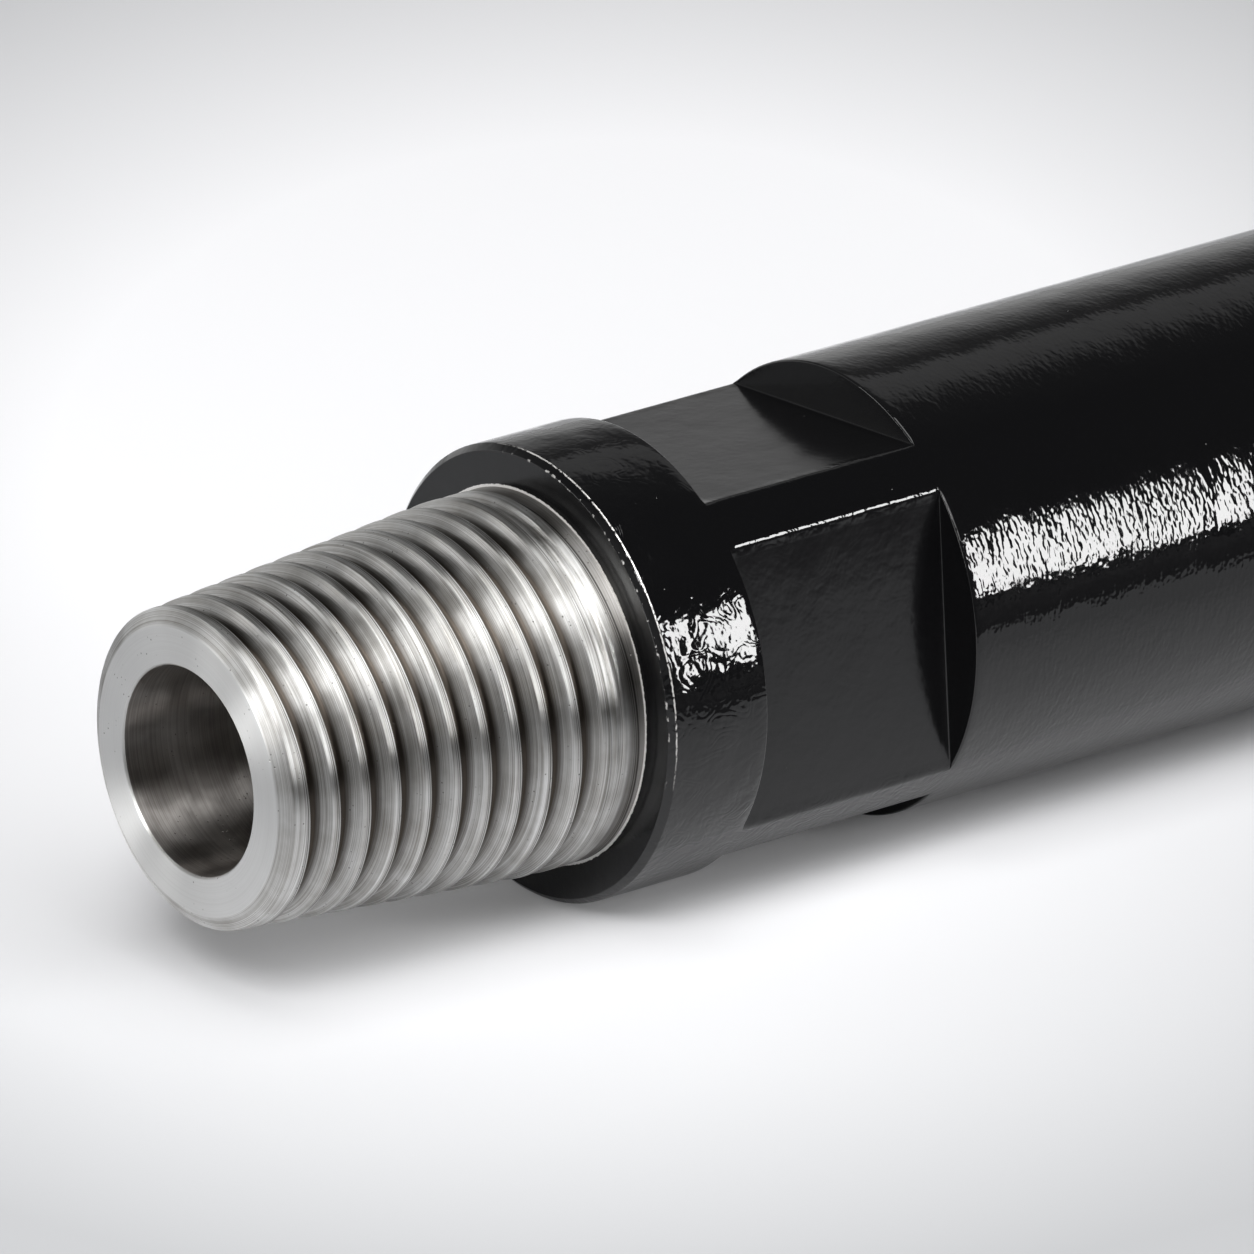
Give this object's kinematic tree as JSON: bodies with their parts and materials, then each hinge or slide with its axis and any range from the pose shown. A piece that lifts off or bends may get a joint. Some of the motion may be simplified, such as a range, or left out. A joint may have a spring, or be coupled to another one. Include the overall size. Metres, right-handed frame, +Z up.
{
  "type": "drill pipe",
  "caption": "Steel drill pipe with a tapered threaded pin, a bevelled shoulder, wrench flats behind the collar, a plain flush tube and an internally threaded box end.",
  "frame": {"origin": "on the pipe's axis at the pin's shoulder face", "axes": "+X along the pipe from the pin to the box, +Z up with the pipe lying down"},
  "size_m": [1.0762, 0.0858, 0.0858],
  "materials": {
    "black_enamel": "gloss",
    "tube_enamel": "gloss",
    "box_enamel": "gloss",
    "bare_steel": "machined"
  },
  "bodies": {
    "root": {"pin_tool_joint": "black_enamel", "pipe_tube": "tube_enamel", "box_tool_joint": "box_enamel"}
  },
  "joints": []
}
